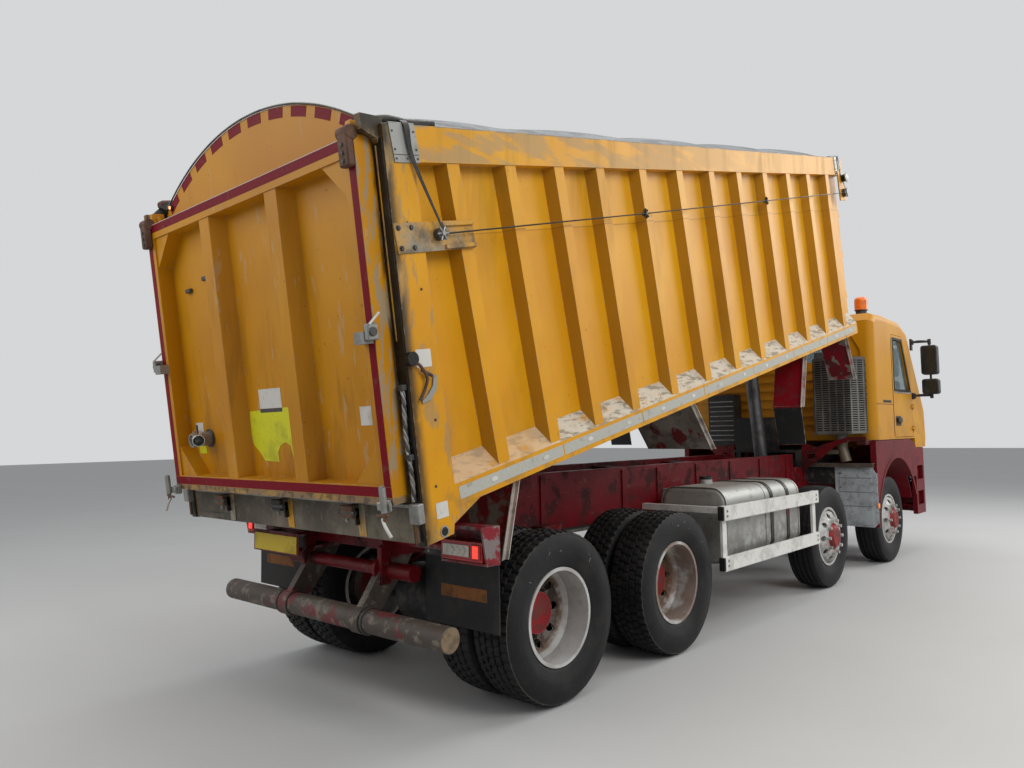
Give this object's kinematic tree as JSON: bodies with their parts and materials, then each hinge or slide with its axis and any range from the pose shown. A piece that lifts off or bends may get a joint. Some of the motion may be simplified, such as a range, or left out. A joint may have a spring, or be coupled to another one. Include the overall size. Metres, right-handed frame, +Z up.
{
  "type": "tipper truck with ribbed bulk body",
  "caption": "Dump truck with a ribbed yellow steel bulk body half tipped on a telescopic ram, framed tailgate, red chassis, steered front axles and twin-wheel rear bogie",
  "frame": {"origin": "floor under the middle of the truck's box, between the left and right wheels", "axes": "+X forward, the way the truck drives; +Y to the truck's left; +Z up from the floor"},
  "size_m": [9.3746, 3.12, 4.9449],
  "materials": {
    "body_yellow": "semi-gloss paint, worn and dusty",
    "chassis_red": "dull paint with grime",
    "black_metal": "matt black paint with grease",
    "flap_rubber": "matt rubber",
    "lamp_plastic": "clear and red lenses",
    "tank_aluminium": "dull sheet with dirt",
    "guard_white": "white paint, scuffed",
    "guard_grey": "grey ribbed panel",
    "dark_plastic": "matt black",
    "guard_steel": "perforated steel",
    "window_glass": "clear",
    "sill_grey": "worn grey paint with residue",
    "shield_grey": "worn grey with red scuffs",
    "sheet_grey": "coated cloth, dusty",
    "ram_steel": "oiled steel tube",
    "tyre_rubber": "matt tyre rubber with dust",
    "rim_silver": "silver paint, dusty"
  },
  "bodies": {
    "chassis": {"chassis_frame": "chassis_red", "subframe": "chassis_red", "underrun_bar": "black_metal", "lamps": "lamp_plastic", "mudflaps": "flap_rubber", "front_axles": "black_metal", "rear_axles": "black_metal", "springs": "chassis_red", "driveline": "black_metal", "fuel_tank": "tank_aluminium", "side_guards": "guard_white", "mud_screens": "guard_grey", "cab_carriers": "chassis_red", "cab_back_units": "dark_plastic", "heat_guard": "guard_steel", "front_wings": "chassis_red", "bumper": "chassis_red", "cab_shell": "body_yellow", "cab_glass": "window_glass", "cab_interior": "black_metal", "mirrors": "dark_plastic"},
    "right_door": {"door_right": "body_yellow", "door_glass_right": "window_glass"},
    "left_door": {"door_left": "body_yellow", "door_glass_left": "window_glass"},
    "bed": {"bed_floor": "body_yellow", "bed_side_right": "body_yellow", "bed_side_left": "body_yellow", "bed_headboard": "body_yellow", "rear_sill": "sill_grey", "mud_shields": "shield_grey", "sheet_hoops": "body_yellow", "load_sheet": "sheet_grey", "sheet_fittings": "sill_grey"},
    "gate": {"tailgate": "body_yellow", "tailgate_fittings": "sill_grey"},
    "ram_outer": {"ram_barrel": "ram_steel"},
    "ram_inner_1": {"ram_stage_1": "ram_steel"},
    "ram_inner_2": {"ram_stage_2": "ram_steel"},
    "ram_inner_3": {"ram_stage_3": "ram_steel"},
    "wheels_3_right": {"tyres_3_right": "tyre_rubber", "rims_3_right": "rim_silver"},
    "wheels_3_left": {"tyres_3_left": "tyre_rubber", "rims_3_left": "rim_silver"},
    "wheels_4_right": {"tyres_4_right": "tyre_rubber", "rims_4_right": "rim_silver"},
    "wheels_4_left": {"tyres_4_left": "tyre_rubber", "rims_4_left": "rim_silver"},
    "wheel_1_right": {"tyre_1_right": "tyre_rubber", "rim_1_right": "rim_silver"},
    "steer_1_right": {"knuckle_1_right": "black_metal"},
    "wheel_1_left": {"tyre_1_left": "tyre_rubber", "rim_1_left": "rim_silver"},
    "steer_1_left": {"knuckle_1_left": "black_metal"},
    "wheel_2_right": {"tyre_2_right": "tyre_rubber", "rim_2_right": "rim_silver"},
    "steer_2_right": {"knuckle_2_right": "black_metal"},
    "wheel_2_left": {"tyre_2_left": "tyre_rubber", "rim_2_left": "rim_silver"},
    "steer_2_left": {"knuckle_2_left": "black_metal"}
  },
  "joints": [
    {"name": "tip", "type": "hinge", "parent": "chassis", "child": "bed", "pos_m": [-3.90168, 0, 1.22], "axis": [0, -1, 0], "range_deg": [-13, 32]},
    {"name": "gate_swing", "type": "hinge", "parent": "bed", "child": "gate", "pos_m": [-4.62669, 0, 3.13416], "axis": [0, 1, 0], "range_deg": [0, 70]},
    {"name": "ram_lean", "type": "hinge", "parent": "chassis", "child": "ram_outer", "pos_m": [2.26832, 0, 1.2], "axis": [0, -1, 0], "range_deg": [-8, 19]},
    {"name": "ram_slide_1", "type": "slide", "parent": "ram_outer", "child": "ram_inner_1", "axis": [-0.1761, 0, 0.9844], "range_m": [-0.45, 1.08]},
    {"name": "ram_slide_2", "type": "slide", "parent": "ram_inner_1", "child": "ram_inner_2", "axis": [-0.1761, 0, 0.9844], "range_m": [-0.45, 1.08]},
    {"name": "ram_slide_3", "type": "slide", "parent": "ram_inner_2", "child": "ram_inner_3", "axis": [-0.1761, 0, 0.9844], "range_m": [-0.45, 1.08]},
    {"name": "door_right_swing", "type": "hinge", "parent": "chassis", "child": "right_door", "pos_m": [4.12233, -1.254, 0], "axis": [0, 0, 1], "range_deg": [0, 70]},
    {"name": "door_left_swing", "type": "hinge", "parent": "chassis", "child": "left_door", "pos_m": [4.12233, 1.254, 0], "axis": [0, 0, -1], "range_deg": [0, 70]},
    {"name": "steer_1_left_turn", "type": "hinge", "parent": "chassis", "child": "steer_1_left", "pos_m": [3.31833, 0.845, 0.52], "axis": [0, 0, 1], "range_deg": [-35, 35]},
    {"name": "wheel_1_left_spin", "type": "hinge", "parent": "steer_1_left", "child": "wheel_1_left", "pos_m": [3.31833, 1.018, 0.52], "axis": [0, 1, 0], "continuous": true},
    {"name": "steer_1_right_turn", "type": "hinge", "parent": "chassis", "child": "steer_1_right", "pos_m": [3.31833, -0.845, 0.52], "axis": [0, 0, 1], "range_deg": [-35, 35]},
    {"name": "wheel_1_right_spin", "type": "hinge", "parent": "steer_1_right", "child": "wheel_1_right", "pos_m": [3.31833, -1.018, 0.52], "axis": [0, 1, 0], "continuous": true},
    {"name": "steer_2_left_turn", "type": "hinge", "parent": "chassis", "child": "steer_2_left", "pos_m": [1.32333, 0.845, 0.52], "axis": [0, 0, 1], "range_deg": [-23, 23]},
    {"name": "wheel_2_left_spin", "type": "hinge", "parent": "steer_2_left", "child": "wheel_2_left", "pos_m": [1.32333, 1.018, 0.52], "axis": [0, 1, 0], "continuous": true},
    {"name": "steer_2_right_turn", "type": "hinge", "parent": "chassis", "child": "steer_2_right", "pos_m": [1.32333, -0.845, 0.52], "axis": [0, 0, 1], "range_deg": [-23, 23]},
    {"name": "wheel_2_right_spin", "type": "hinge", "parent": "steer_2_right", "child": "wheel_2_right", "pos_m": [1.32333, -1.018, 0.52], "axis": [0, 1, 0], "continuous": true},
    {"name": "wheels_3_left_spin", "type": "hinge", "parent": "chassis", "child": "wheels_3_left", "pos_m": [-1.78167, 0.887, 0.52], "axis": [0, 1, 0], "continuous": true},
    {"name": "wheels_3_right_spin", "type": "hinge", "parent": "chassis", "child": "wheels_3_right", "pos_m": [-1.78167, -0.887, 0.52], "axis": [0, 1, 0], "continuous": true},
    {"name": "wheels_4_left_spin", "type": "hinge", "parent": "chassis", "child": "wheels_4_left", "pos_m": [-3.15168, 0.887, 0.52], "axis": [0, 1, 0], "continuous": true},
    {"name": "wheels_4_right_spin", "type": "hinge", "parent": "chassis", "child": "wheels_4_right", "pos_m": [-3.15168, -0.887, 0.52], "axis": [0, 1, 0], "continuous": true}
  ],
  "couplings": [
    {"joint": "ram_lean", "follows": "tip", "ratio": 0.5797},
    {"joint": "ram_slide_1", "follows": "tip", "m_per_rad": 1.9257},
    {"joint": "ram_slide_2", "follows": "tip", "m_per_rad": 1.9257},
    {"joint": "ram_slide_3", "follows": "tip", "m_per_rad": 1.9257},
    {"joint": "steer_1_right_turn", "follows": "steer_1_left_turn", "ratio": 1},
    {"joint": "steer_2_left_turn", "follows": "steer_1_left_turn", "ratio": 0.655},
    {"joint": "steer_2_right_turn", "follows": "steer_1_left_turn", "ratio": 0.655}
  ]
}
